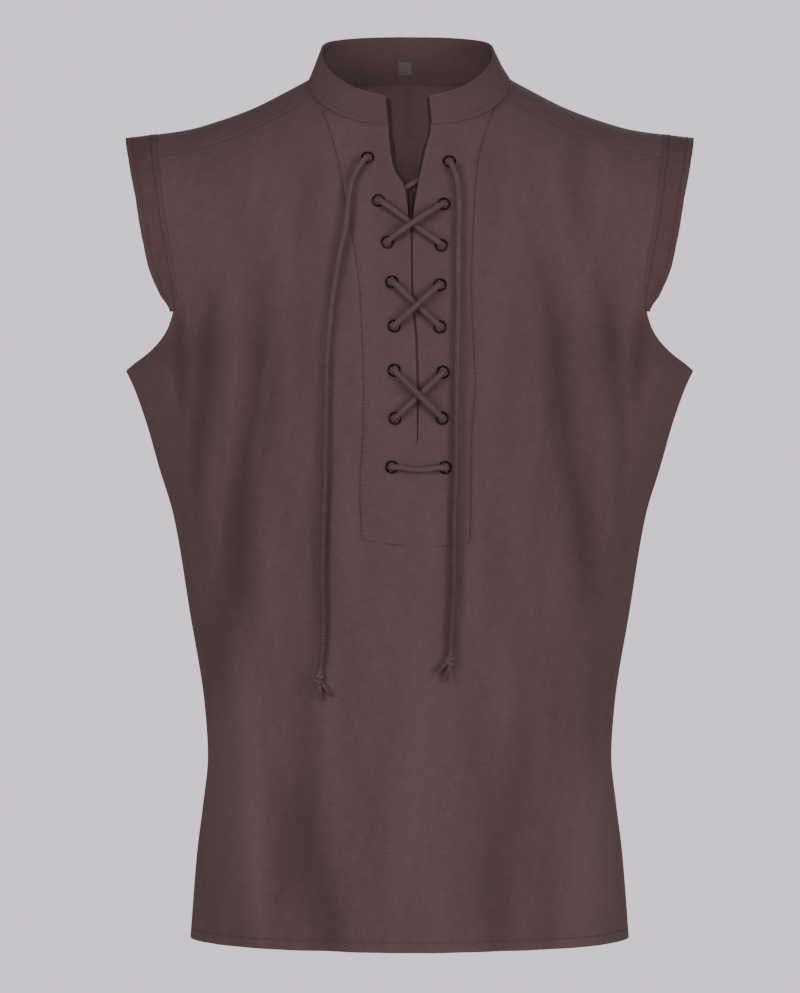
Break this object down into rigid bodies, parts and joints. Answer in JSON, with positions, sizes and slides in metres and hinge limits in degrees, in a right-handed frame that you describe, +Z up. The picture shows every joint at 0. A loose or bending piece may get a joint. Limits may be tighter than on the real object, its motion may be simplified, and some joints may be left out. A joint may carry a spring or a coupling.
{
  "type": "medieval blouse",
  "caption": "Sleeveless medieval blouse in brown woven cloth with a stand collar and a front slit laced through metal eyelets, in its worn shape, hollow.",
  "frame": {"origin": "middle of the neck between the two shoulders, at the height where the collar is sewn to the shoulders, which is where the wearer carries it", "axes": "+Z up, the laced front faces -Y, +X to the right of someone who looks at the front"},
  "size_m": [0.471, 0.2273, 0.7527],
  "materials": {
    "cloth": "matt plain-woven linen and cotton cloth, dark greyed brown, with fine slubs",
    "lace_braid": "soft braided cord in the cloth's brown, a little darker, frayed under the end knots",
    "eyelet_metal": "black enamelled metal with a thin worn glint on the rim",
    "label_cloth": "small grey woven label, bare"
  },
  "bodies": {
    "root": {"front": "cloth", "back": "cloth", "collar": "cloth", "armhole_band_left": "cloth", "armhole_band_right": "cloth", "eyelet_left_1": "eyelet_metal", "eyelet_left_2": "eyelet_metal", "eyelet_left_3": "eyelet_metal", "eyelet_left_4": "eyelet_metal", "eyelet_left_5": "eyelet_metal", "eyelet_left_6": "eyelet_metal", "eyelet_left_7": "eyelet_metal", "eyelet_left_8": "eyelet_metal", "eyelet_right_1": "eyelet_metal", "eyelet_right_2": "eyelet_metal", "eyelet_right_3": "eyelet_metal", "eyelet_right_4": "eyelet_metal", "eyelet_right_5": "eyelet_metal", "eyelet_right_6": "eyelet_metal", "eyelet_right_7": "eyelet_metal", "eyelet_right_8": "eyelet_metal", "lace_laced": "lace_braid", "lace_tail_left": "lace_braid", "lace_tail_right": "lace_braid", "lace_knot_left": "lace_braid", "lace_knot_right": "lace_braid", "size_label": "label_cloth"}
  },
  "joints": []
}
